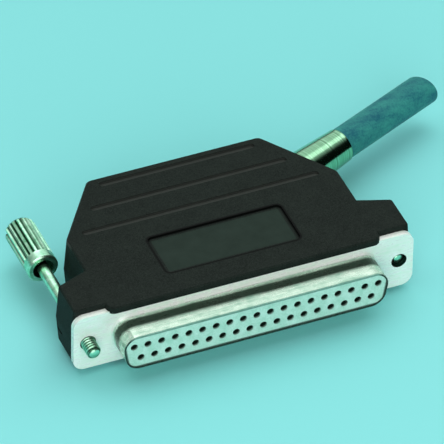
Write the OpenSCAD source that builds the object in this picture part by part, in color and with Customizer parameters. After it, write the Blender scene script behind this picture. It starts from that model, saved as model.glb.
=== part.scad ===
// Two-part hood on a 37-way D-subminiature socket connector, with a cable bushing and
// captive jackscrews. Millimetres. The origin is the middle of the connector's flange, on
// its front face: +X runs along the contact rows, +Y goes back into the hood, +Z is up
// through the label field.

/* [Connector] */
// Contacts in the wide row (the narrow row has one fewer)
wide_row_count = 19; // [17:1:20]
// Spacing of contacts along a row
contact_pitch = 2.76; // [2.5:0.02:2.8]
// Distance between the two rows
row_gap = 2.84; // [2.6:0.02:3.0]
// Length of the flange beyond each screw's axis
flange_end = 2.91; // [2.4:0.05:3.4]
// Height of the flange
flange_h = 12.55; // [11.8:0.05:13]
// Thickness of each of the two flange plates
plate_t = 0.6; // [0.5:0.05:0.7]
// Corner radius of the flange plates
plate_corner_r = 2.3; // [0.8:0.1:2.6]
// Distance from the front shell's side to each screw's axis
screw_offset = 4.33; // [4.2:0.01:5]
// Diameter of the screw holes in the flange
hole_d = 3.05; // [3.0:0.05:3.3]
// Distance from the outermost contact of the wide row to the outside of the front shell
contact_margin = 2.58; // [2.4:0.02:3]
// Height of the D-shaped front shell
shell_h = 7.9; // [7.6:0.1:8.4]
// How far the front shell stands out from the flange
shell_reach = 6.1; // [5.6:0.1:6.6]
// Thickness of the drawn sheet of the front shell
shell_wall = 0.35; // [0.3:0.05:0.5]
// Radius of the D's corners
shell_corner_r = 3; // [1.8:0.1:3.2]
// Size of the drawn foot where the front shell meets the flange
shell_foot = 0.5; // [0.3:0.1:0.8]
// Lean of the D's short sides
shell_lean = 10; // [8:0.5:12]
// How deep the socket block sits below the rim of the shell
block_recess = 0.15; // [0.1:0.05:0.6]
// How far the rear shell's box stands out beyond the front shell at each side
rear_side = 0.28; // [0.2:0.02:0.4]
// How far the rear shell's box stands out above and below the front shell
rear_over = 1.35; // [1.1:0.05:1.45]
// Depth of the socket block behind the flange
block_depth = 1.9; // [1.5:0.1:2.5]
// Depth of the rear shell's box behind the flange
rear_depth = 4.1; // [3:0.1:5]
// How far the rear insulator stands out of the rear shell
rear_block_out = 1.5; // [1:0.1:2]

/* [Contacts] */
// Diameter of a contact's sleeve
contact_d = 1.4; // [1.3:0.02:1.6]
// Bore of a contact for its pin
contact_bore = 1.06; // [1.0:0.01:1.1]
// Depth of the bore in a contact
contact_bore_depth = 6; // [5:0.1:7]
// How deep the contact's mouth sits below the face of the socket block
contact_recess = 1.2; // [0.4:0.1:1.6]
// Length of the solder cup behind the rear insulator
cup_len = 3.8; // [3:0.1:4.5]
// Outer diameter of the solder cup
cup_d = 1.6; // [1.5:0.05:1.8]

/* [Hood] */
// How far the body's sides stand out beyond the rear shell's box, on the top face
body_side = 0.1; // [0:0.05:0.3]
// Length of an ear beyond its screw's axis, on the top face
ear_end = 2.35; // [2.2:0.05:2.7]
// Depth of an ear's outer side behind the flange's front face
ear_depth = 9.3; // [8.8:0.1:10.5]
// How much further back the ear reaches where it meets the body
ear_slope = 2.3; // [1.5:0.1:3]
// Depth of the back of the hood
hood_depth = 35.6; // [34.5:0.1:37]
// Length of the slanted corners from front to back
corner_l = 14.6; // [13:0.1:15.5]
// How far each slanted corner runs in from the body's side
corner_run = 10.05; // [9.6:0.05:10.6]
// Thickness of the hood over both halves
hood_h = 14.7; // [14.5:0.1:16]
// Thickness of the moulded walls
wall = 1.5; // [1.3:0.1:1.7]
// How much wider the walls stand at the parting plane than at the faces
draft = 0.5; // [0.3:0.05:0.55]
// Radius of the body's upright corners
body_corner_r = 1.6; // [1:0.1:2]
// Radius of the ears' upright corners
ear_corner_r = 0.6; // [0.4:0.1:0.9]
// Width of the broken edge round the top face
top_edge = 0.3; // [0.2:0.05:0.5]
// Width of the slanted edge round the bottom face
bottom_edge = 1.8; // [1.2:0.1:2]
// How far the front lip hooks down over the flange's edge
lip_hook = 0.32; // [0.2:0.02:0.5]
// Thickness of the front lip
lip_t = 0.5; // [0.4:0.05:0.7]

// Length of the short slot in each ear's outer side
side_slot_l = 2.5; // [1.5:0.1:3.5]
// Height of that slot
side_slot_h = 0.5; // [0.3:0.1:0.8]

/* [Top face] */
// Width of the label field
label_w = 27.4; // [24:0.2:30]
// Depth of the label field from front to back
label_l = 10.8; // [9:0.1:12]
// Distance of the label field from the flange's front face
label_y = 5; // [4:0.1:6]
// How deep the label field is sunk
label_sink = 0.4; // [0.15:0.05:0.5]
// Corner radius of the label field
label_corner_r = 1.1; // [0.6:0.1:2]
// Number of grip grooves behind the label field
groove_count = 3; // [2:1:3]
// Distance of the last groove from the back of the hood
groove_back = 2.1; // [1.8:0.1:3]
// Spacing of the grooves
groove_pitch = 6; // [5:0.1:6]
// Width of a groove
groove_w = 1.3; // [0.8:0.1:1.4]
// Depth of a groove
groove_sink = 0.5; // [0.3:0.05:0.6]
// Distance of a groove's ends from the hood's outline
groove_margin = 3.2; // [2.5:0.1:4]

/* [Hood fasteners] */
// Diameter of the screws that hold the halves together
shell_screw_d = 2.4; // [2.2:0.1:2.6]
// Head diameter of those screws
shell_screw_head_d = 4.4; // [4:0.1:4.6]
// Head height of those screws
shell_screw_head_h = 1.5; // [1.2:0.1:1.7]
// Length of those screws under the head
shell_screw_len = 9.6; // [8:0.1:10]
// Outer diameter of the screw bosses
boss_d = 6; // [5.6:0.1:6.4]
// Distance of the front bosses from the body's sides
boss_side = 5.4; // [5.2:0.1:6]
// Distance of the front bosses from the flange's front face
boss_front_y = 16.5; // [15:0.1:18]
// Distance of the left back boss from the corner of the back
boss_corner = 4.6; // [4.4:0.1:5.6]
// Distance of the back bosses from the back of the hood
boss_back = 5; // [4.6:0.1:5.6]

/* [Cable and bushing] */
// Diameter of the cable
cable_d = 6.5; // [5.6:0.1:6.6]
// Thickness of the cable's outer jacket
jacket_t = 0.8; // [0.6:0.1:1]
// Angle of the cable from the contact rows
cable_angle = 24; // [22:0.5:28]
// Distance along the slanted corner from the body's side to the cable's axis
outlet_from_side = 10.4; // [9.6:0.1:11.4]
// Length of the bushing outside the hood
bushing_out = 14.2; // [12:0.1:17]
// Length of the cable beyond the bushing
cable_out = 23.4; // [20:0.1:40]
// Slant of the cable's cut end
cut_slant = 20; // [0:1:30]
// Diameter of the bushing where it leaves the hood
bushing_d = 8.2; // [8:0.1:8.6]
// Diameter of the bushing at its free end
bushing_end_d = 7; // [6.9:0.05:7.5]
// Diameter of the bushing's collar inside the hood
collar_d = 9.6; // [9.4:0.1:9.8]
// Length of the collar
collar_l = 2; // [1.5:0.1:2.5]
// Depth of the collar's seat behind the outlet
collar_depth = 4.4; // [4:0.1:5]

/* [Cable clamp] */
// Width of the clamp along the cable
clamp_w = 5; // [4:0.1:5.4]
// Distance of the clamp from the outlet, along the cable
clamp_depth = 12.6; // [12.2:0.1:13]
// Thickness of the clamp's arch
clamp_t = 1.4; // [1.1:0.1:1.6]
// Distance of each clamp screw from the cable's axis
clamp_screw_x = 6.3; // [6.2:0.1:6.5]
// Diameter of the clamp screws
clamp_screw_d = 2; // [1.6:0.1:2.2]
// Head diameter of the clamp screws
clamp_head_d = 3.6; // [3.2:0.1:3.8]
// Head height of the clamp screws
clamp_head_h = 1.3; // [1:0.1:1.5]
// Length of the clamp screws under the head
clamp_screw_len = 5.7; // [4.5:0.1:6]
// Gap between the clamp's feet and its saddle
clamp_gap = 0.3; // [0.1:0.05:0.5]

/* [Jackscrews] */
// Diameter of the thread
thread_d = 2.84; // [2.6:0.02:2.86]
// Length of the threaded end
thread_len = 5.4; // [4.5:0.1:5.6]
// Diameter of the shank behind the thread
shank_d = 2.4; // [2.2:0.05:2.5]
// Distance of the retaining clip from the tip of the screw
clip_from_tip = 6.4; // [6.2:0.1:6.8]
// Diameter of the retaining clip
clip_d = 3.8; // [3.5:0.1:3.9]
// Thickness of the retaining clip
clip_t = 0.6; // [0.4:0.05:0.8]
// Diameter of the groove that the clip sits in
clip_groove_d = 1.8; // [1.6:0.05:1.9]
// Bore of the ear around the clip
ear_bore_d = 4.2; // [4.1:0.05:4.3]
// How far the left screw's tip stands out of the flange
left_tip_out = 3.4; // [2:0.1:4.4]
// How far the right screw's tip lies behind the flange's front face
right_tip_in = 0.6; // [0:0.1:0.7]
// Length of the left screw from its tip to the front of its knob
knob_from_tip = 26; // [24:0.2:28]
// Length of the knurled knob
knob_len = 12.6; // [10:0.1:14]
// Diameter of the knob
knob_d = 6.2; // [5.6:0.1:6.3]
// Length of the smooth collar at the knob's front
knob_collar = 2.2; // [1.5:0.1:3]
// Diameter of the recess around the shank in the knob's front face
knob_recess_d = 4.2; // [3.4:0.1:4.4]
// Depth of that recess
knob_recess = 1.6; // [1:0.1:2]
// Number of flutes round the knob
flute_count = 18; // [12:1:20]
// Depth of the flutes
flute_depth = 0.4; // [0.25:0.05:0.5]
// How deep the left screw's shank is pressed into its knob
knob_grip = 9.6; // [6:0.1:9.8]
// Length of the right screw from tip to slotted end
right_screw_len = 13.3; // [13:0.1:14.5]

/* [Hidden] */

$fn = 48;
fit = 0.05;        // running and seating clearance between rigid pieces
loose = 0.15;      // clearance of screws in plain holes
far = 100;         // longer than anything it cuts
cut = 0.01;        // overlap of a cut with the face that it opens
corner_steps = 8;  // straight steps in a round corner of an outline

// Colours
plastic = [0.15, 0.18, 0.165];
steel = [0.78, 0.88, 0.84];
mint = [0.55, 0.83, 0.75];
gold = [0.83, 0.68, 0.32];
teal = [0.19, 0.48, 0.50];

// Widths that follow from the contacts outward: shell, rear box, screws, flange, hood
shell_w = (wide_row_count - 1) * contact_pitch + 2 * contact_margin;
rear_w = shell_w + 2 * rear_side;
rear_h = shell_h + 2 * rear_over;
screw_x = shell_w / 2 + screw_offset;
flange_w = 2 * (screw_x + flange_end);
hood_w = rear_w + 2 * body_side;
ear_w = 2 * (screw_x + ear_end);
back_w = hood_w - 2 * corner_run;

// Depths that follow from the back of the hood forward: corners, grooves, bosses
side_depth = hood_depth - corner_l;
groove_y = hood_depth - groove_back - (groove_count - 1) * groove_pitch;
boss_back_y = hood_depth - boss_back;

// Outlines of the hood's top face, anticlockwise, and the planes that the flange sits between
hood_front = -lip_t - fit;
seat_y = 2 * plate_t + fit;
ear_front = seat_y;
ear_ridge = ear_depth + ear_slope * (ear_w / 2) / ((ear_w - hood_w) / 2);
body_outline = mirrored([[hood_w / 2, hood_front], [hood_w / 2, side_depth], [back_w / 2, hood_depth]]);
ear_outline = concat([[ear_w / 2, ear_front], [ear_w / 2, ear_depth]], [[0, ear_ridge]],
    [[-ear_w / 2, ear_depth], [-ear_w / 2, ear_front]]);

// Cable outlet on the slanted right corner
corner_a = [hood_w / 2, side_depth];
corner_b = [back_w / 2, hood_depth];
outlet = corner_a + outlet_from_side * unit(corner_b - corner_a);
gland_r = collar_d / 2 + fit + 1;
gland_depth = collar_depth + collar_l + 1;
core_d = cable_d - 2 * jacket_t;
jacket_end = clamp_depth + clamp_w / 2 + 1.5;
core_strip = 2.5;

// Ears and jackscrews
ear_wall_y = ear_depth - 1.6;
left_clip_y = clip_from_tip - left_tip_out;
right_clip_y = clip_from_tip + right_tip_in;

// Connector block
block_face = -(shell_reach - block_recess);
insulator_split = 2 * plate_t + block_depth;
rear_face = 2 * plate_t + rear_depth + rear_block_out;
block_flange_y = plate_t + 0.02;

// Where the screws of the two halves stand
boss_front_x = hood_w / 2 - boss_side;
boss_places = [[-boss_front_x, boss_front_y], [boss_front_x, boss_front_y],
    [boss_corner - back_w / 2, boss_back_y], [0, boss_back_y]];
screw_seat = -hood_h / 2 + shell_screw_head_h + 0.4;

function unit(v) = v / norm(v);
function leftward(v) = [-v.y, v.x];
function mirrored(half) = concat(half, [for (i = [len(half) - 1:-1:0]) [-half[i].x, half[i].y]]);

// Normals of the two edges that meet at corner i, both pointing into an anticlockwise outline
function edge_in(pts, i) = leftward(unit(pts[(i + 1) % len(pts)] - pts[i]));
function edge_before(pts, i) = edge_in(pts, (i + len(pts) - 1) % len(pts));

// The outline moved inward by d, with each corner where the moved edges meet
function inset(pts, d) = [for (i = [0:len(pts) - 1])
    let (a = edge_before(pts, i), b = edge_in(pts, i)) pts[i] + d * (a + b) / (1 + a * b)];

// Points of one round corner about centre c, from the normal a of the edge before it to the
// normal b of the edge after it
function corner(c, r, a, b) = [for (k = [0:corner_steps]) c - r * unit(a + (b - a) * k / corner_steps)];

// A convex outline with round corners of radius r
module rounded(pts, r) {
    centres = inset(pts, r);
    polygon([for (i = [0:len(pts) - 1]) each corner(centres[i], r, edge_before(pts, i), edge_in(pts, i))]);
}

// A moulded half: upright corners of radius r, walls that lean in by the draft as they rise
// to height h, and a slanted edge round the face
module drafted(pts, r, h, edge) {
    face_r = max(r - edge, 0.3);
    hull() {
        for (c = inset(pts, r)) translate(c) cylinder(h = h - edge, r1 = r + draft, r2 = r, $fn = 32);
        for (c = inset(pts, edge + face_r)) translate([c.x, c.y, h - cut])
            cylinder(h = cut, r = face_r, $fn = 32);
    }
}

// Places children along the cable's axis, +X pointing out of the hood
module on_cable() translate([outlet.x, outlet.y, 0]) rotate([0, 0, cable_angle]) children();

// A round bar along +X from x0 to x1
module bar_x(x0, x1, r) translate([x0, 0, 0]) rotate([0, 90, 0]) cylinder(h = x1 - x0, r = r);

// A round bar along +Y from y0 to y1
module bar_y(y0, y1, r) translate([0, y0, 0]) rotate([-90, 0, 0]) cylinder(h = y1 - y0, r = r);

// A solid of revolution about the Y axis from [radius, y] points
module turned_y(profile) rotate([-90, 0, 0]) rotate_extrude() polygon(profile);

// One D-shaped outline of the connector, wide side up, extruded along Y from y0 to y1
module d_block(w, h, r, y0, y1) {
    lean = h * tan(shell_lean);
    translate([0, y1, 0]) rotate([90, 0, 0]) linear_extrude(y1 - y0)
        rounded([[-w / 2 + lean, -h / 2], [w / 2 - lean, -h / 2], [w / 2, h / 2], [-w / 2, h / 2]], r);
}

// Outer form of one half of the hood, above the parting plane
module half_form(edge) {
    drafted(body_outline, body_corner_r, hood_h / 2, edge);
    drafted(ear_outline, ear_corner_r, hood_h / 2, edge);
}

// What both halves are hollowed by: the room inside, the seat of the flange, the bores for
// the jackscrews and the seat of the bushing
module half_hollow() {
    linear_extrude(hood_h / 2 - wall) polygon(inset(body_outline, wall));
    translate([-rear_w / 2 - loose, 0, -far / 2])
        cube([rear_w + 2 * loose, seat_y + rear_depth + 1, far / 2 + rear_h / 2 + loose]);
}

// The slot of the flange plates, and the mouth in front of them: hook is how far the lip
// reaches down over the flange
module flange_seat(hook) {
    seat_h = flange_h + 2 * fit;
    mouth_h = flange_h - 2 * hook;
    translate([-far / 2, -fit, -seat_h / 2]) cube([far, seat_y + fit, seat_h]);
    translate([-far / 2, -far, -mouth_h / 2]) cube([far, far, mouth_h]);
}

module screw_bores() for (x = [-screw_x, screw_x]) translate([x, 0, 0]) {
    bar_y(0, ear_wall_y, ear_bore_d / 2);
    bar_y(0, far, shank_d / 2 + loose);
}

module bushing_seat() on_cable() {
    bar_x(-collar_depth - cut, far, bushing_d / 2 + fit);
    bar_x(-collar_depth - collar_l - fit, -collar_depth + fit, collar_d / 2 + fit);
    bar_x(-jacket_end - core_strip - 1, 0, cable_d / 2 + loose);
}

// One half of the hood with its gland block and screw bosses, before its own features
module half_shell(edge, hook) difference() {
    union() {
        difference() {
            half_form(edge);
            half_hollow();
        }
        intersection() {
            drafted(body_outline, body_corner_r, hood_h / 2, edge);
            on_cable() bar_x(-gland_depth, far, gland_r);
        }
        for (p = boss_places) translate(p) cylinder(h = hood_h / 2 - wall + cut, d = boss_d);
    }
    flange_seat(hook);
    screw_bores();
    bushing_seat();
    translate([-far, -far, -far]) cube([2 * far, 2 * far, far]);
}

module label_field() translate([0, 0, hood_h / 2 - label_sink]) linear_extrude(far)
    rounded([[-label_w / 2, label_y], [label_w / 2, label_y],
        [label_w / 2, label_y + label_l], [-label_w / 2, label_y + label_l]], label_corner_r);

// Half the width of the top face at depth y, on the slanted corners
function half_width(y) = hood_w / 2 - (hood_w - back_w) / 2 * (y - side_depth) / (hood_depth - side_depth);

module grip_grooves() for (i = [0:groove_count - 1]) {
    y = groove_y + i * groove_pitch;
    half = half_width(y) - groove_margin - groove_w / 2;
    translate([0, y, hood_h / 2 - groove_sink]) {
        translate([-half, -groove_w / 2, 0]) cube([2 * half, groove_w, far]);
        for (x = [-half, half]) translate([x, 0, 0]) cylinder(h = far, d = groove_w);
    }
}

module upper_shell() color(plastic) difference() {
    half_shell(top_edge, lip_hook);
    label_field();
    grip_grooves();
    for (p = boss_places) translate([p.x, p.y, -cut])
        cylinder(h = screw_seat + shell_screw_len + 0.5, d = shell_screw_d + 0.04);
}

// The saddle under the cable, with the pilot holes of the clamp screws
module clamp_saddle() on_cable() difference() {
    translate([-clamp_depth - clamp_w / 2, -clamp_screw_x - clamp_screw_d, 0])
        cube([clamp_w, 2 * (clamp_screw_x + clamp_screw_d), hood_h / 2 - wall + cut]);
    bar_x(-far, 0, cable_d / 2 + 0.02);
    for (y = [-clamp_screw_x, clamp_screw_x]) translate([-clamp_depth, y, -cut])
        cylinder(h = hood_h / 2 - wall - 0.6, d = clamp_screw_d + 0.04);
}

// The short slots in the ears' outer sides, where a blade lifts the halves apart
module side_slots() for (x = [-1, 1])
    translate([x * (ear_w / 2 + draft) - 0.6, ear_depth - 0.4 - side_slot_l, -2.4 - side_slot_h / 2])
        cube([1.2, side_slot_l, side_slot_h]);

module lower_shell() color(plastic) difference() {
    mirror([0, 0, 1]) {
        half_shell(bottom_edge, -hood_h);
        clamp_saddle();
    }
    side_slots();
    for (p = boss_places) translate([p.x, p.y, -hood_h]) {
        cylinder(h = far, d = shell_screw_d + 2 * loose);
        cylinder(h = hood_h + screw_seat, d = shell_screw_head_d + 2 * loose);
    }
}

// A flange plate from y0 to y1 with its two screw holes
module flange_plate(y0, y1) difference() {
    translate([0, y1, 0]) rotate([90, 0, 0]) linear_extrude(y1 - y0)
        rounded([[-flange_w / 2, -flange_h / 2], [flange_w / 2, -flange_h / 2],
            [flange_w / 2, flange_h / 2], [-flange_w / 2, flange_h / 2]], plate_corner_r);
    for (x = [-screw_x, screw_x]) translate([x, 0, 0]) bar_y(y0 - 1, y1 + 1, hole_d / 2);
}

module front_shell() color(steel) difference() {
    union() {
        flange_plate(0, plate_t);
        d_block(shell_w, shell_h, shell_corner_r, -shell_reach, cut);
        hull() {
            d_block(shell_w, shell_h, shell_corner_r, -shell_foot, 0);
            d_block(shell_w + 2 * shell_foot, shell_h + 2 * shell_foot, shell_corner_r + shell_foot, -cut, 0);
        }
    }
    d_block(shell_w - 2 * shell_wall, shell_h - 2 * shell_wall, shell_corner_r - shell_wall, -far, far);
}

module rear_shell() color(steel) difference() {
    union() {
        flange_plate(plate_t, 2 * plate_t);
        d_block(rear_w, rear_h, shell_corner_r, plate_t, 2 * plate_t + rear_depth);
    }
    d_block(rear_w - 2 * plate_t, rear_h - 2 * plate_t, shell_corner_r - plate_t, -far, far);
}

// Contact places in the plane of the flange
function wide_row() = [for (i = [0:wide_row_count - 1])
    [(i - (wide_row_count - 1) / 2) * contact_pitch, row_gap / 2]];
function narrow_row() = [for (i = [0:wide_row_count - 2])
    [(i - (wide_row_count - 2) / 2) * contact_pitch, -row_gap / 2]];

module at_contacts(places) for (p = places) translate([p.x, 0, p.y]) children();

module socket_block() color(mint) difference() {
    union() {
        d_block(shell_w - 2 * shell_wall - 2 * fit, shell_h - 2 * shell_wall - 2 * fit,
            shell_corner_r - shell_wall - fit, block_face, block_flange_y + cut);
        d_block(rear_w - 2 * plate_t - 2 * fit, rear_h - 2 * plate_t - 2 * fit,
            shell_corner_r - plate_t - fit, block_flange_y, insulator_split);
    }
    at_contacts(concat(wide_row(), narrow_row())) bar_y(-far, far, contact_d / 2 + 0.02, $fn = 20);
}

module rear_insulator() color(mint) difference() {
    union() {
        d_block(rear_w - 2 * plate_t - 2 * fit, rear_h - 2 * plate_t - 2 * fit,
            shell_corner_r - plate_t - fit, insulator_split + 0.02, 2 * plate_t + rear_depth);
        d_block(rear_w - 4 * plate_t, rear_h - 6 * plate_t, shell_corner_r - plate_t - fit,
            insulator_split + 0.02, rear_face);
    }
    at_contacts(concat(wide_row(), narrow_row())) bar_y(-far, far, contact_d / 2 + 0.02, $fn = 20);
}

// A turned socket contact: sleeve with its bore, and a solder cup cut open above
module contact() {
    front = block_face + contact_recess;
    difference() {
        union() {
            bar_y(front, rear_face + 0.6, contact_d / 2, $fn = 16);
            bar_y(rear_face + 0.02, rear_face + cup_len, cup_d / 2, $fn = 16);
        }
        bar_y(front - 1, front + contact_bore_depth, contact_bore / 2, $fn = 16);
        bar_y(rear_face + 0.8, far, cup_d / 2 - 0.2, $fn = 16);
        translate([-cup_d, rear_face + 1.2, 0.1]) cube([2 * cup_d, far, cup_d]);
    }
}

module wide_row_contacts() color(gold) at_contacts(wide_row()) contact();
module narrow_row_contacts() color(gold) at_contacts(narrow_row()) mirror([0, 0, 1]) contact();

// What lies beyond the cable's slanted cut, moved out by extra
module beyond_cut(extra) translate([bushing_out + cable_out + extra, 0, 0])
    rotate([0, 0, cut_slant]) translate([0, -far / 2, -far / 2]) cube(far);

module cable_jacket() color(teal) on_cable() difference() {
    bar_x(-jacket_end, bushing_out + cable_out + cable_d, cable_d / 2);
    bar_x(-far, far, core_d / 2);
    beyond_cut(0);
}

module cable_core() color([0.25, 0.45, 0.47]) on_cable() difference() {
    bar_x(-jacket_end - core_strip, bushing_out + cable_out + cable_d, core_d / 2 - 0.01);
    beyond_cut(-0.2);
}

module cable_bushing() color(steel) on_cable() rotate([0, 90, 0]) rotate_extrude() polygon([
    [cable_d / 2 + 0.02, -collar_depth - collar_l], [collar_d / 2, -collar_depth - collar_l],
    [collar_d / 2, -collar_depth], [bushing_d / 2, -collar_depth], [bushing_d / 2, 2],
    [bushing_end_d / 2, bushing_out - 0.5], [bushing_end_d / 2, bushing_out - 0.1],
    [bushing_end_d / 2 - 0.1, bushing_out], [cable_d / 2 + 0.02, bushing_out]]);

module cable_clamp() color(steel) on_cable() translate([-clamp_depth, 0, 0]) difference() {
    union() {
        translate([-clamp_w / 2, -clamp_screw_x - clamp_screw_d, clamp_gap])
            cube([clamp_w, 2 * (clamp_screw_x + clamp_screw_d), clamp_t]);
        intersection() {
            bar_x(-clamp_w / 2, clamp_w / 2, cable_d / 2 + clamp_t);
            translate([-far, -far, clamp_gap]) cube([2 * far, 2 * far, far]);
        }
    }
    bar_x(-far, far, cable_d / 2 + 0.02);
    for (y = [-clamp_screw_x, clamp_screw_x]) translate([0, y, -far]) cylinder(h = 2 * far, d = clamp_screw_d + 0.2);
}

// A slotted pan-head screw, head up, with its seat at z = 0
module pan_screw(d, len, head_d, head_h) difference() {
    union() {
        translate([0, 0, -len]) cylinder(h = len + cut, d = d);
        cylinder(h = head_h * 0.6, d = head_d);
        translate([0, 0, head_h * 0.6 - cut]) cylinder(h = head_h * 0.4, d1 = head_d, d2 = head_d * 0.8);
    }
    translate([-head_d, -0.3, head_h * 0.55]) cube([2 * head_d, 0.6, head_h]);
}

module clamp_screws() color(steel) on_cable() for (y = [-clamp_screw_x, clamp_screw_x])
    translate([-clamp_depth, y, clamp_gap + clamp_t + 0.02])
        pan_screw(clamp_screw_d, clamp_screw_len, clamp_head_d, clamp_head_h);

module shell_screws() color(steel) for (p = boss_places) translate([p.x, p.y, screw_seat - 0.02])
    mirror([0, 0, 1]) pan_screw(shell_screw_d, shell_screw_len, shell_screw_head_d, shell_screw_head_h);

// A jackscrew from its tip at y = 0 back to y = len: thread, shank and the clip's groove
module jackscrew(len) {
    tip_bevel = 0.45;
    turned_y([[0, 0], [thread_d / 2 - tip_bevel, 0], [thread_d / 2, tip_bevel], [thread_d / 2, thread_len - 0.2],
        [shank_d / 2, thread_len], [shank_d / 2, clip_from_tip - clip_t / 2 - fit],
        [clip_groove_d / 2, clip_from_tip - clip_t / 2 - fit], [clip_groove_d / 2, clip_from_tip + clip_t / 2 + fit],
        [shank_d / 2, clip_from_tip + clip_t / 2 + fit], [shank_d / 2, len], [0, len]]);
}

// The open ring that snaps into a jackscrew's groove, centred on y = 0
module clip() difference() {
    bar_y(-clip_t / 2, clip_t / 2, clip_d / 2);
    bar_y(-1, 1, clip_groove_d / 2 + fit);
    translate([-clip_groove_d * 0.4, -1, -clip_d]) cube([clip_groove_d * 0.8, 2, clip_d]);
}

module knob() difference() {
    turned_y([[0, 0], [knob_d / 2 - 0.3, 0], [knob_d / 2, 0.3], [knob_d / 2, knob_len - 0.7],
        [knob_d / 2 - 0.2, knob_len - 0.25], [knob_d / 2 - 0.7, knob_len], [0, knob_len]]);
    bar_y(-1, knob_recess, knob_recess_d / 2);
    bar_y(-1, knob_grip, shank_d / 2);
    for (i = [0:flute_count - 1]) rotate([0, (i + 0.5) * 360 / flute_count, 0])
        translate([knob_d / 2 - flute_depth, knob_collar, 0]) rotate([0, 45, 0]) cube([far / 10, far / 2, far / 10]);
    translate([-far / 2, knob_len - 1.2, -0.4]) cube([far, far, 0.8]);
}

module left_jackscrew() color(steel) translate([-screw_x, -left_tip_out, 0])
    jackscrew(knob_from_tip + knob_grip - 0.1);
module left_knob() color(steel) translate([-screw_x, knob_from_tip - left_tip_out, 0]) knob();
module left_clip() color(steel) translate([-screw_x, left_clip_y, 0]) clip();
module right_jackscrew() color(steel) translate([screw_x, right_tip_in, 0]) difference() {
    jackscrew(right_screw_len);
    translate([-far / 2, right_screw_len - 0.9, -0.25]) cube([far, far, 0.5]);
}
module right_clip() color(steel) translate([screw_x, right_clip_y, 0]) clip();

upper_shell();
lower_shell();
front_shell();
rear_shell();
socket_block();
rear_insulator();
wide_row_contacts();
narrow_row_contacts();
cable_jacket();
cable_core();
cable_bushing();
cable_clamp();
clamp_screws();
shell_screws();
left_jackscrew();
left_knob();
left_clip();
right_jackscrew();
right_clip();
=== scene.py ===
# %% [markdown]
# # A D-subminiature hood, dressed for the studio
#
# The solids of this hood come from its CAD model, exact in size. This lesson gives them their
# surfaces: grained plastic, tinned sheet steel, turned and plated screws, a cable jacket. It
# also makes the few forms that the solids leave plain, such as the screw threads.
#
# They are in metres, and each one's place is in its mesh, so nothing here is ever moved to
# fit.

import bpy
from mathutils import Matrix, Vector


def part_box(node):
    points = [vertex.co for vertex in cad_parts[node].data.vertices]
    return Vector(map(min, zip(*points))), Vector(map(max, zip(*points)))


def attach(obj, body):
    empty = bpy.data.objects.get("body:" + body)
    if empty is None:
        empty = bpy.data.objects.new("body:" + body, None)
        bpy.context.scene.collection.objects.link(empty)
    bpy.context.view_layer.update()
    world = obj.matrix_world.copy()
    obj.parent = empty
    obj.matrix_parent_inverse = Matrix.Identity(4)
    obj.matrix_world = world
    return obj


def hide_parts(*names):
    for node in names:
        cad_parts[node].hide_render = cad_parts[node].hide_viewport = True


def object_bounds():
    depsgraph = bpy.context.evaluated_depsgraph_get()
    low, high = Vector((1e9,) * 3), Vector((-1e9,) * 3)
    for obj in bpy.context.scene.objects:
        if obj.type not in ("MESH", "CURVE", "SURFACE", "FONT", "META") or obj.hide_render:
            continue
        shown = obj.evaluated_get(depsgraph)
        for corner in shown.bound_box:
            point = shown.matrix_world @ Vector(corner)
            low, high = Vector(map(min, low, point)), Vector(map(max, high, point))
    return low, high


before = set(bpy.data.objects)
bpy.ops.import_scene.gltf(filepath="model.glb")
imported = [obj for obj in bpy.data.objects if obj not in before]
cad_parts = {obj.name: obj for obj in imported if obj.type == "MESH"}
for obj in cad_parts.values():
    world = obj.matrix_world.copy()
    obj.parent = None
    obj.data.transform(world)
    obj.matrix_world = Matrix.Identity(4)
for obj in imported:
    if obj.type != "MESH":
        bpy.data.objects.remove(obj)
cad_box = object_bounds()
print("solids:", len(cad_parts), "box:", cad_box)

# %% [markdown]
# ## Tools for surfaces
#
# A turned screw or a tube is a surface of two parameters: an angle round its axis and a place
# along it. Numpy works out every point of such a grid at once, and one helper turns the grid
# into a mesh. The far edge of the angle joins the near edge, so no seam opens, and each end
# closes on one middle point, the pole.

# %% A grid of points becomes a closed tube
import math

import bpy
import numpy as np

MM = 0.001


def tube_mesh(name, rows, smooth=True):
    """A mesh from rows of points. Each row is a ring round the tube, and the ring's last point
    joins its first. The two end rings are closed by triangles that meet at the ring's mean.
    The faces are turned over if the volume that they enclose comes out negative."""
    rings, around, _ = rows.shape
    ring, step = np.meshgrid(np.arange(rings - 1), np.arange(around), indexing="ij")
    ahead = (step + 1) % around
    quads = np.stack(
        [ring * around + step, ring * around + ahead,
         (ring + 1) * around + ahead, (ring + 1) * around + step],
        axis=-1,
    ).reshape(-1, 4)
    first, last = rings * around, rings * around + 1
    edge = np.arange(around)
    next_edge = (edge + 1) % around
    start_fan = np.stack([next_edge, edge, np.full(around, first)], axis=-1)
    base = (rings - 1) * around
    end_fan = np.stack([base + edge, base + next_edge, np.full(around, last)], axis=-1)
    points = np.concatenate([rows.reshape(-1, 3), [rows[0].mean(axis=0)], [rows[-1].mean(axis=0)]])
    halves = np.concatenate([quads[:, [0, 1, 2]], quads[:, [0, 2, 3]], start_fan, end_fan])
    a, b, c = (points[halves[:, i]] for i in range(3))
    if np.einsum("ij,ij->i", a, np.cross(b, c)).sum() < 0:
        quads, start_fan, end_fan = quads[:, ::-1], start_fan[:, ::-1], end_fan[:, ::-1]
    mesh = bpy.data.meshes.new(name)
    mesh.from_pydata(points.tolist(), [], quads.tolist() + start_fan.tolist() + end_fan.tolist())
    mesh.polygons.foreach_set("use_smooth", np.full(len(mesh.polygons), smooth))
    mesh.update()
    piece = bpy.data.objects.new(name, mesh)
    bpy.context.scene.collection.objects.link(piece)
    print(name, "has", len(mesh.polygons), "faces")
    return piece


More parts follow.
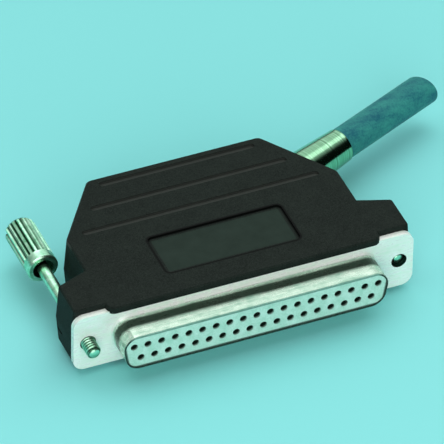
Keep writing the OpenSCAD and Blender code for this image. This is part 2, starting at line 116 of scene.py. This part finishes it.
# %% [markdown]
# ## Tools for materials
#
# A procedural material is a small sum: noise times a strength, plus a base. Written as Python
# expressions it stays readable. The class below wraps a socket, and each operator adds one
# Math node. Colours are mixed with a Mix node, because a Math node would turn them grey.

# %% Sockets that can be added and multiplied
class Value:
    """A number that varies over a surface: the output socket of a node in a tree."""

    def __init__(self, graph, socket):
        self.graph = graph
        self.socket = socket

    def math(self, operation, *others):
        links = {i: value for i, value in enumerate((self, *others))}
        return self.graph.node("ShaderNodeMath", {"operation": operation}, links)

    def __add__(self, other):
        return self.math("ADD", other)

    __radd__ = __add__

    def __sub__(self, other):
        return self.math("SUBTRACT", other)

    def __rsub__(self, other):
        return self.graph.node("ShaderNodeMath", {"operation": "SUBTRACT"}, {0: other, 1: self})

    def __mul__(self, other):
        return self.math("MULTIPLY", other)

    __rmul__ = __mul__

    def ramp(self, low, high):
        """0 at low and below, 1 at high and above, and an even slope between."""
        inputs = {"Value": self, "From Min": low, "From Max": high}
        return self.graph.node("ShaderNodeMapRange", {"clamp": True}, inputs, "Result")


class Graph:
    """One material's node tree."""

    def __init__(self, tree):
        self.tree = tree

    def node(self, kind, settings=None, inputs=None, output=0):
        """Adds a node: its settings first, then its sockets' values or links."""
        made = self.tree.nodes.new(kind)
        for key, value in (settings or {}).items():
            setattr(made, key, value)
        for key, value in (inputs or {}).items():
            if isinstance(value, Value):
                self.tree.links.new(value.socket, made.inputs[key])
            else:
                made.inputs[key].default_value = value
        return Value(self, made.outputs[output])

    def place(self):
        """Where a point lies on the object, in millimetres."""
        spot = self.node("ShaderNodeTexCoord", output="Object")
        return self.node("ShaderNodeVectorMath", {"operation": "SCALE"}, {0: spot, "Scale": 1000.0})

    def axes(self, vector):
        """The three parts of a vector."""
        first = self.node("ShaderNodeSeparateXYZ", inputs={0: vector})
        parts = first.socket.node.outputs
        return [Value(self, parts[i]) for i in range(3)]

    def noise(self, vector, scale, detail=2.0, roughness=0.5):
        inputs = {"Vector": vector, "Scale": scale, "Detail": detail, "Roughness": roughness}
        return self.node("ShaderNodeTexNoise", inputs=inputs)

    def mix(self, factor, low, high):
        """Blends two colours."""
        return self.node("ShaderNodeMix", {"data_type": "RGBA"}, {0: factor, 6: low, 7: high}, 2)

    def bump(self, height, distance, strength=1.0):
        inputs = {"Height": height, "Distance": distance, "Strength": strength}
        return self.node("ShaderNodeBump", inputs=inputs)


def colour(red, green, blue):
    """A colour named by its 0 to 255 screen values, as the linear light that a shader needs."""
    screen = np.array([red, green, blue]) / 255.0
    light = np.where(screen <= 0.04045, screen / 12.92, ((screen + 0.055) / 1.055) ** 2.4)
    return (*light.tolist(), 1.0)


def material(name, paint, **fixed):
    """A material on Principled BSDF. paint(graph) returns what varies over the surface, and
    fixed holds the sockets that are the same all over it."""
    made = bpy.data.materials.new(name)
    made.use_nodes = True
    shader = made.node_tree.nodes["Principled BSDF"]
    graph = Graph(made.node_tree)
    for key, value in fixed.items():
        shader.inputs[key.replace("_", " ")].default_value = value
    for key, value in paint(graph).items():
        made.node_tree.links.new(value.socket, shader.inputs[key])
    return made


# %% [markdown]
# ## Black moulded plastic
#
# The hood is moulded in black plastic with a fine spark-eroded grain. Real black plastic is
# never black: here it is a dark grey green. The grain is a small bump from noise. The label
# field on top is left smoother by the mould, so it is a little lighter. The grip grooves
# behind it are painted paler, as painted light on their walls and floor.
#
# Where the field lies is worked out, not painted by hand. The distance to a rectangle with
# round corners is a short formula, and it gives both the field, where it is negative, and the
# dark line of painted shade along the field's edge, where it is near zero.

# %% Hood plastic
LABEL_SIZE = (27.4, 10.8)
LABEL_MIDDLE_Y = 10.4
LABEL_CORNER = 1.1
TOP_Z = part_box("upper_shell")[1][2] / MM


def rounded_box_distance(x, y, width, depth, radius):
    """How far a point lies outside a rectangle with round corners, in millimetres: the length
    of what sticks out past the corner's centre in x and y, less the radius. Inside the
    straight sides the larger of the two excesses takes over."""
    over_x = x.math("ABSOLUTE") - (width / 2 - radius)
    over_y = y.math("ABSOLUTE") - (depth / 2 - radius)
    out_x, out_y = over_x.math("MAXIMUM", 0.0), over_y.math("MAXIMUM", 0.0)
    inner = over_x.math("MAXIMUM", over_y).math("MINIMUM", 0.0)
    return (out_x * out_x + out_y * out_y).math("SQRT") + inner - radius


def hood_paint(graph):
    """Speckled dark plastic. The label field and the grip grooves are both found by height,
    because they lie a little under the hood's top, and then by where they are in plan."""
    place = graph.place()
    x, y, z = graph.axes(place)
    edge = rounded_box_distance(x, y - LABEL_MIDDLE_Y, *LABEL_SIZE, LABEL_CORNER)
    sunk = z.ramp(TOP_Z - 0.7, TOP_Z - 0.6) * z.ramp(TOP_Z - 0.02, TOP_Z - 0.06)
    field = edge.ramp(-0.6, -0.85) * sunk
    # Painted shade: a dark line round the label field's edge, on the sunk field and on the top just
    # outside it.
    edge_shade = edge.ramp(-0.4, -0.15) * edge.ramp(0.5, 0.25) * z.ramp(TOP_Z - 0.7, TOP_Z - 0.6)
    # Painted light: the grip grooves' walls and floor are made paler, as if lit.
    groove = z.ramp(TOP_Z - 0.1, TOP_Z - 0.2) * z.ramp(TOP_Z - 0.7, TOP_Z - 0.6)
    groove = groove * y.ramp(18.0, 19.0) * edge.ramp(1.0, 1.5)
    grain = graph.noise(place, 3.2, 3.0, 0.6)
    cloud = graph.noise(place, 0.35, 3.0)
    speck = graph.noise(place, 7.0, 2.0, 0.7)
    shade = (speck * 0.6 + grain * 0.25 + cloud * 0.15).ramp(0.38, 0.62)
    plain = graph.mix(shade, colour(8, 17, 13), colour(39, 47, 42))
    plain = graph.mix(groove, plain, colour(62, 66, 62))
    smooth = graph.mix(cloud.ramp(0.3, 0.7), colour(32, 46, 39), colour(39, 53, 46))
    lit = graph.mix(field, plain, smooth)
    return {
        "Base Color": graph.mix(edge_shade * 0.95, lit, colour(2, 4, 3)),
        "Roughness": 0.6 + cloud * 0.1,
        "Normal": graph.bump(speck * (1 - field * 0.85), 0.00009, 0.8),
    }


hood_plastic = material("hood_plastic", hood_paint, Specular_IOR_Level=0.1)

# %% [markdown]
# ## Tinned sheet steel
#
# The connector's two shells are drawn from thin sheet steel and tinned. The flat flange stays
# satin, so it scatters light more than a mirror does. The drawn skirt is more mirror-like. It is
# bright near its front, and a dark band painted behind that is a painted reflection. Its thin rim
# and the walls of the screw holes carry painted shade. Fine streaks run along the skirt, the
# way the sheet was drawn.

# %% Tinned sheet
SCREW_X = 31.75


def tinned_paint(graph):
    """A pale flat flange and a more mirror-like skirt in front of it, told apart by y. The painted
    reflection is a dark band in y whose edges the streaks make uneven. The rim and the screw holes'
    walls carry painted shade, and the holes are found by the distance from a screw's axis."""
    place = graph.place()
    x, y, z = graph.axes(place)
    drawn = graph.node("ShaderNodeMapping", inputs={"Vector": place, "Scale": (0.12, 1.6, 1.6)})
    streak = graph.noise(drawn, 1.0, 4.0, 0.65)
    blotch = graph.noise(place, 0.6, 3.0, 0.6)
    worn = (streak * 0.6 + blotch * 0.4).ramp(0.34, 0.64)
    skirt = y.ramp(-0.3, -0.55)
    wavy = y + (streak - 0.5) * 0.9
    # Painted reflection: a dark band across the skirt, behind its bright front.
    dark_reflection = wavy.ramp(-0.7, -1.3) * wavy.ramp(-3.6, -2.9)
    # Painted shade on the skirt's front rim, lighter only along its top.
    rim_shade = y.ramp(-5.85, -6.02) * (0.45 + z.ramp(3.7, 3.3) * 0.5)
    # Painted shade on the walls of the screw holes.
    aside = x.math("ABSOLUTE") - SCREW_X
    hole_shade = (aside * aside + z * z).math("SQRT").ramp(1.62, 1.56)
    flat = graph.mix(worn, colour(226, 246, 228), colour(255, 255, 252))
    bright = graph.mix(worn, colour(150, 192, 170), colour(232, 250, 232))
    tone = graph.mix(skirt, flat, bright)
    tone = graph.mix(dark_reflection * 0.95, tone, colour(24, 46, 30))
    return {
        "Base Color": graph.mix(rim_shade.math("MAXIMUM", hole_shade), tone, colour(14, 40, 32)),
        "Metallic": 0.08 + skirt * 0.52,
        "Roughness": 0.34 - worn * 0.1,
        "Normal": graph.bump(streak * 0.7 + blotch * 0.3, 0.00006, 0.4),
    }


tinned_steel = material("tinned_steel", tinned_paint)

# %% [markdown]
# ## Turned and plated metal
#
# The screws, the knob and the bushing are turned from bar and plated. A lathe leaves fine
# rings round the axis that a part turns on, so the pattern is noise stretched into rings: it
# changes fast along the axis, and slowly across it. The jackscrews' axes lie along Y.

# %% Plated screws and knob
KNOB_RADIUS = 3.1
KNOB_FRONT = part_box("left_knob")[0][1] / MM


def turned_paint(graph):
    """Rings round the Y axis, and painted shade: in the thread's grooves near the tip, round the
    right screw's tip, in the knob's flutes and in the recess in its front. All are told by the
    distance from the screw's axis."""
    place = graph.place()
    x, y, z = graph.axes(place)
    stretch = graph.node("ShaderNodeMapping", inputs={"Vector": place, "Scale": (0.6, 9.0, 0.6)})
    rings = graph.noise(stretch, 1.0, 2.0)
    cloud = graph.noise(place, 0.8, 3.0)
    tone = graph.mix(cloud.ramp(0.3, 0.7), colour(140, 204, 166), colour(208, 248, 222))
    aside = x.math("ABSOLUTE") - SCREW_X
    reach = (aside * aside + z * z).math("SQRT")
    # Painted shade in the thread's grooves near the tip, where it sits in the flange's hole.
    thread_shade = reach.ramp(1.4, 1.12) * y.ramp(3.2, 2.6) * reach.ramp(0.98, 1.08)
    # Painted shade in the knob's flutes.
    flute_shade = reach.ramp(KNOB_RADIUS - 0.08, KNOB_RADIUS - 0.3)
    flute_shade = flute_shade * y.ramp(KNOB_FRONT + 2.2, KNOB_FRONT + 2.4)
    # Painted shade in the recess in the knob's front.
    recess_shade = reach.ramp(2.14, 2.08) * y.ramp(KNOB_FRONT - 0.05, KNOB_FRONT + 0.3)
    # The painted shade in the flutes is deeper on the left knob's left half, the side turned from the
    # light.
    grip = 0.55 + (x + SCREW_X).ramp(0.8, -0.6) * 0.4
    # Painted shade round the edge of the right screw's tip, inside its hole.
    tip = reach.ramp(0.75, 1.0) * y.ramp(0.95, 0.8) * x.ramp(0.0, 1.0)
    dark = thread_shade.math("MAXIMUM", flute_shade * grip).math("MAXIMUM", tip).math("MAXIMUM", recess_shade * 0.95)
    return {
        "Base Color": graph.mix(dark, tone, colour(14, 52, 34)),
        "Roughness": 0.2 + rings * 0.2,
        "Normal": graph.bump(rings, 0.00003, 0.4),
    }


plated_metal = material("plated_metal", turned_paint, Metallic=1.0)

# %% [markdown]
# The bushing turns on the cable's axis, which leaves the hood at 24 degrees to the contact
# rows. The place along that axis is one sum, and the rings read only that sum. It is
# polished more than the screws are, so it mirrors its surroundings as bright and dark bands.

# %% Polished bushing
CABLE_ANGLE = math.radians(24.0)


def bushing_paint(graph):
    """Turned metal whose rings are noise of one number, the place along the cable's axis."""
    place = graph.place()
    x, y, _ = graph.axes(place)
    along = x * math.cos(CABLE_ANGLE) + y * math.sin(CABLE_ANGLE)
    line = graph.node("ShaderNodeCombineXYZ", inputs={0: along * 2.2})
    rings = graph.noise(line, 1.0, 4.0, 0.7)
    cloud = graph.noise(place, 0.5, 3.0)
    tone = graph.mix(rings.ramp(0.32, 0.62), colour(92, 136, 104), colour(160, 208, 172))
    return {
        "Base Color": tone,
        "Roughness": 0.1 + cloud * 0.08,
        "Normal": graph.bump(rings, 0.00003, 0.3),
    }


bushing_metal = material("bushing_metal", bushing_paint, Metallic=1.0)

# %% [markdown]
# ## Insulator, contacts and cable
#
# The socket block is moulded in a pale mint plastic, with painted shade in its entry holes and
# in a thin dark line round it, where it meets the shell. The contacts are gold over brass. The
# cable's jacket is a soft blue-green plastic with a dull, mottled skin.

# %% Plastics and gold
FACE_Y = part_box("socket_block")[0][1] / MM
BLOCK_HALF_WIDTH = 27.02
BLOCK_HALF_HEIGHT = 3.55
SHELL_LEAN = math.tan(math.radians(10.0))


def block_paint(graph):
    """Mint all over, with painted shade: darker with depth behind the mating face, where only the
    walls of the entry holes are seen, and a dark line along the D-shaped edge."""
    place = graph.place()
    x, y, z = graph.axes(place)
    cloud = graph.noise(place, 0.5, 3.0)
    speck = graph.noise(place, 3.0, 3.0, 0.7)
    patch = (cloud * 0.5 + speck * 0.5).ramp(0.34, 0.66)
    skin = graph.mix(patch, colour(160, 210, 190), colour(206, 238, 226))
    # Painted shade in the entry holes, darker with depth behind the mating face.
    entry_shade = y.ramp(FACE_Y + 0.05, FACE_Y + 0.5)
    # Painted shade: a thin dark line along the D-shaped edge, where the block meets the shell.
    slant = x.math("ABSOLUTE") - z * SHELL_LEAN - (BLOCK_HALF_WIDTH - BLOCK_HALF_HEIGHT * SHELL_LEAN)
    line = (z.math("ABSOLUTE") - BLOCK_HALF_HEIGHT).math("MAXIMUM", slant).ramp(-0.32, -0.12)
    return {
        "Base Color": graph.mix(entry_shade.math("MAXIMUM", line * 0.8), skin, colour(12, 34, 26)),
        "Roughness": 0.5 + cloud * 0.15,
    }


def gold_paint(graph):
    """Brown gold, brighter where the noise is high."""
    place = graph.place()
    cloud = graph.noise(place, 2.0, 2.0)
    return {
        "Base Color": graph.mix(cloud, colour(60, 50, 28), colour(110, 92, 52)),
        "Roughness": 0.22 + cloud * 0.15,
    }


def jacket_paint(graph):
    """Mottled blue green. The large noise is stretched along the hood's X axis and then turned by the
    cable's angle, which leaves the stretch 24 degrees off the cable's axis. The small noise is the
    grain of the skin."""
    place = graph.place()
    along = graph.node("ShaderNodeMapping", inputs={
        "Vector": place, "Rotation": (0.0, 0.0, -CABLE_ANGLE), "Scale": (0.25, 0.6, 0.6)})
    cloud = graph.noise(along, 0.7, 4.0, 0.6)
    fine = graph.noise(place, 2.4, 4.0, 0.7)
    mottle = (cloud * 0.6 + fine * 0.4).ramp(0.38, 0.62)
    return {
        "Base Color": graph.mix(mottle, colour(22, 96, 112), colour(56, 146, 138)),
        "Roughness": 0.6 + cloud * 0.15,
        "Normal": graph.bump(fine, 0.00008, 0.5),
    }


insulator = material("insulator", block_paint, Specular_IOR_Level=0.3)
contact_gold = material("contact_gold", gold_paint, Metallic=1.0)
jacket = material(
    "jacket", jacket_paint, Specular_IOR_Level=0.15,
    Sheen_Weight=0.25, Sheen_Roughness=0.5, Sheen_Tint=(0.35, 0.9, 0.8, 1.0),
)

# %% [markdown]
# ## Finishes for the solids
#
# Each solid has a name in the CAD model, so a table from names to materials is enough. What
# the table leaves out is a screw, a clip or the clamp, and those are all plated.

# %% Put the finishes on the solids
finish_of = {
    "upper_shell": hood_plastic, "lower_shell": hood_plastic,
    "front_shell": tinned_steel, "rear_shell": tinned_steel,
    "socket_block": insulator, "rear_insulator": insulator,
    "wide_row_contacts": contact_gold, "narrow_row_contacts": contact_gold,
    "cable_jacket": jacket, "cable_core": jacket, "cable_bushing": bushing_metal,
}
for node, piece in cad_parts.items():
    piece.data.materials.clear()
    piece.data.materials.append(finish_of.get(node, plated_metal))
print("finished", len(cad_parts), "solids")

# %% [markdown]
# ## Jackscrews with real threads
#
# A jackscrew is turned from bar: a thread at the tip, a thinner shank behind it, and a groove
# for the clip that keeps it in the ear. The solid has a plain cylinder where the thread is.
# Here the whole screw is one surface. Its radius is the turned profile, less a wedge that
# runs round as it runs along: one turn for each pitch makes a helix.

# %% The turned profile of a jackscrew, as distance from the tip and radius
THREAD_PITCH = 0.635
THREAD_DEPTH = 0.34
THREAD_END = 5.2


def screw_rows(tip_y, length, x, around=48):
    """Rings of a jackscrew along +Y. The radius is the straight-line profile between its
    corners, less a triangle wave of (distance / pitch - angle / full turn), which fades in
    behind the tip and out before the shank."""
    corners = np.array([
        [0.0, 0.97], [0.45, 1.42], [5.2, 1.42], [5.4, 1.2], [6.05, 1.2], [6.051, 0.9],
        [6.749, 0.9], [6.75, 1.2], [length, 1.2],
    ])
    fine = np.arange(0.0, 5.45, 0.045)
    along = np.unique(np.concatenate([fine, corners[:, 0], np.linspace(7.0, length, 12)]))
    profile = np.interp(along, corners[:, 0], corners[:, 1])
    angle = np.linspace(0.0, 2 * np.pi, around, endpoint=False)
    y, a = np.meshgrid(along, angle, indexing="ij")
    turn = (y / THREAD_PITCH - a / (2 * np.pi)) % 1.0
    wedge = 1 - np.abs(2 * turn - 1)
    fade = np.clip(y / 0.3, 0, 1) * np.clip((THREAD_END - y) / 0.4, 0, 1)
    radius = profile[:, None] - THREAD_DEPTH * fade * np.clip(wedge * 1.3 - 0.15, 0, 1)
    return np.stack([x + radius * np.cos(a), tip_y + y, radius * np.sin(a)], axis=-1) * MM


def node_span(node, axis):
    """The lowest and highest place of a node along one axis, in millimetres."""
    low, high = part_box(node)
    return low[axis] / MM, high[axis] / MM


left_tip, left_end = node_span("left_jackscrew", 1)
right_tip, right_end = node_span("right_jackscrew", 1)
left_screw = tube_mesh("left_screw_threaded", screw_rows(left_tip, left_end - left_tip, -SCREW_X))
right_screw = tube_mesh("right_screw_threaded", screw_rows(right_tip, right_end - right_tip, SCREW_X))

# %% [markdown]
# The right screw ends in a slot for a screwdriver. A slot leaves two separate halves, which no
# single ring can follow, so it is cut with a Boolean, and the result replaces the mesh.

# %% Cut the screwdriver slot
def cut_box(piece, low, high):
    """Cuts an upright box, given by two corners in millimetres, out of a piece."""
    low, high = np.array(low) * MM, np.array(high) * MM
    corner = np.array([[i, j, k] for i in (0, 1) for j in (0, 1) for k in (0, 1)])
    points = low + corner * (high - low)
    faces = [(0, 1, 3, 2), (4, 6, 7, 5), (0, 4, 5, 1), (2, 3, 7, 6), (0, 2, 6, 4), (1, 5, 7, 3)]
    mesh = bpy.data.meshes.new("cutter")
    mesh.from_pydata(points.tolist(), [], faces)
    cutter = bpy.data.objects.new("cutter", mesh)
    bpy.context.scene.collection.objects.link(cutter)
    step = piece.modifiers.new("slot", "BOOLEAN")
    step.operation = "DIFFERENCE"
    step.solver = "EXACT"
    step.object = cutter
    depsgraph = bpy.context.evaluated_depsgraph_get()
    shaped = bpy.data.meshes.new_from_object(piece.evaluated_get(depsgraph))
    piece.modifiers.clear()
    piece.data = shaped
    bpy.data.objects.remove(cutter)
    print(piece.name, "now has", len(shaped.polygons), "faces")


SLOT_DEPTH = 0.9
SLOT_WIDTH = 0.5
cut_box(
    right_screw,
    (SCREW_X - 3, right_end - SLOT_DEPTH, -SLOT_WIDTH / 2),
    (SCREW_X + 3, right_end + 1, SLOT_WIDTH / 2),
)
for piece, body, node in (
    (left_screw, "left_screw_body", "left_jackscrew"),
    (right_screw, "right_screw_body", "right_jackscrew"),
):
    piece.data.materials.append(plated_metal)
    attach(piece, body)
    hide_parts(node)

# %% [markdown]
# ## Camera, floor and light
#
# The hood lies on a plain pale table. The camera looks down on it from the front left through
# a very long lens, so parallel edges stay parallel. Its axes are worked out from two angles:
# which way it looks round the hood, and how far it looks down.

# %% Camera
from mathutils import Matrix

AZIMUTH, ELEVATION, ROLL = 23.49, 40.53, 1.19
CAMERA_PLACE = (-0.4118, -0.9361, 0.8939)
LENS_LENGTH = 585.1


def look_axes(azimuth, elevation, roll):
    """The camera's right, up and backward directions. The view direction turns from +Y
    towards +X by the azimuth and dips by the elevation, and then the frame rolls about it."""
    a, e, r = np.radians([azimuth, elevation, roll])
    view = np.array([math.sin(a) * math.cos(e), math.cos(a) * math.cos(e), -math.sin(e)])
    right = np.array([math.cos(a), -math.sin(a), 0.0])
    up = np.cross(right, view)
    rolled_right = math.cos(r) * right + math.sin(r) * up
    rolled_up = -math.sin(r) * right + math.cos(r) * up
    return np.stack([rolled_right, rolled_up, -view], axis=1)


camera = bpy.data.objects.new("camera", bpy.data.cameras.new("camera"))
bpy.context.scene.collection.objects.link(camera)
turn = Matrix(look_axes(AZIMUTH, ELEVATION, ROLL).tolist()).to_4x4()
camera.matrix_world = Matrix.Translation(CAMERA_PLACE) @ turn
camera.data.lens = LENS_LENGTH
camera.data.sensor_width = 36.0
camera.data.clip_start = 0.05
camera.data.clip_end = 20.0
bpy.context.scene.camera = camera

# %% [markdown]
# The table is one large square at the hood's lowest height, so the hood rests on it.

# %% Table
rest_z = cad_box[0][2]
table_mesh = bpy.data.meshes.new("table")
side = 3.0
corners = [(-side, -side, rest_z), (side, -side, rest_z), (side, side, rest_z), (-side, side, rest_z)]
table_mesh.from_pydata(corners, [], [(0, 1, 2, 3)])
table = bpy.data.objects.new("table", table_mesh)
bpy.context.scene.collection.objects.link(table)


def table_paint(graph):
    """Almost one colour: a very wide and faint cloud keeps it from looking flat."""
    cloud = graph.noise(graph.place(), 0.01, 2.0)
    return {"Base Color": graph.mix(cloud, colour(140, 231, 230), colour(144, 235, 234))}


table_mesh.materials.append(material("table_top", table_paint, Roughness=0.9))


# %% [markdown]
# A wide light overhead makes soft shadows, and a smaller one in front lifts the mating face.
# Polished metal mirrors what stands round it, so the world matters as much as the lamps. Its
# sky is bright behind the hood, and dark in front and at the horizon, which puts a bright
# band beside a dark one on each turned piece.

# %% Lights
def soft_light(name, place, aim, size, power):
    """A square area light at place, turned to face the point aim."""
    lamp = bpy.data.lights.new(name, "AREA")
    lamp.size = size
    lamp.energy = power
    holder = bpy.data.objects.new(name, lamp)
    bpy.context.scene.collection.objects.link(holder)
    back = np.array(place) - np.array(aim)
    back = back / np.linalg.norm(back)
    side_way = np.cross([0.0, 0.0, 1.0], back)
    side_way = side_way / np.linalg.norm(side_way)
    axes = np.stack([side_way, np.cross(back, side_way), back], axis=1)
    holder.matrix_world = Matrix.Translation(place) @ Matrix(axes.tolist()).to_4x4()
    return holder


soft_light("key", (0.1, 0.2, 1.15), (0.0, 0.0, 0.0), 1.5, 7.5)
soft_light("front", (-0.25, -0.9, 0.4), (0.0, 0.0, 0.0), 0.9, 7.5)

world = bpy.data.worlds.new("studio")
bpy.context.scene.world = world
world.use_nodes = True
graph = Graph(world.node_tree)
heading = graph.node("ShaderNodeTexCoord", output="Generated")
east, north, above = graph.axes(heading)
glow = above.ramp(0.02, 0.3) * north.ramp(-0.15, 0.25) * (0.45 + east.ramp(-0.6, 0.1) * 0.55)
sky = graph.mix(glow, colour(8, 14, 12), colour(240, 252, 250))
background = world.node_tree.nodes["Background"]
world.node_tree.links.new(sky.socket, background.inputs["Color"])
background.inputs["Strength"].default_value = 1.1
bpy.context.scene.view_settings.view_transform = "Standard"
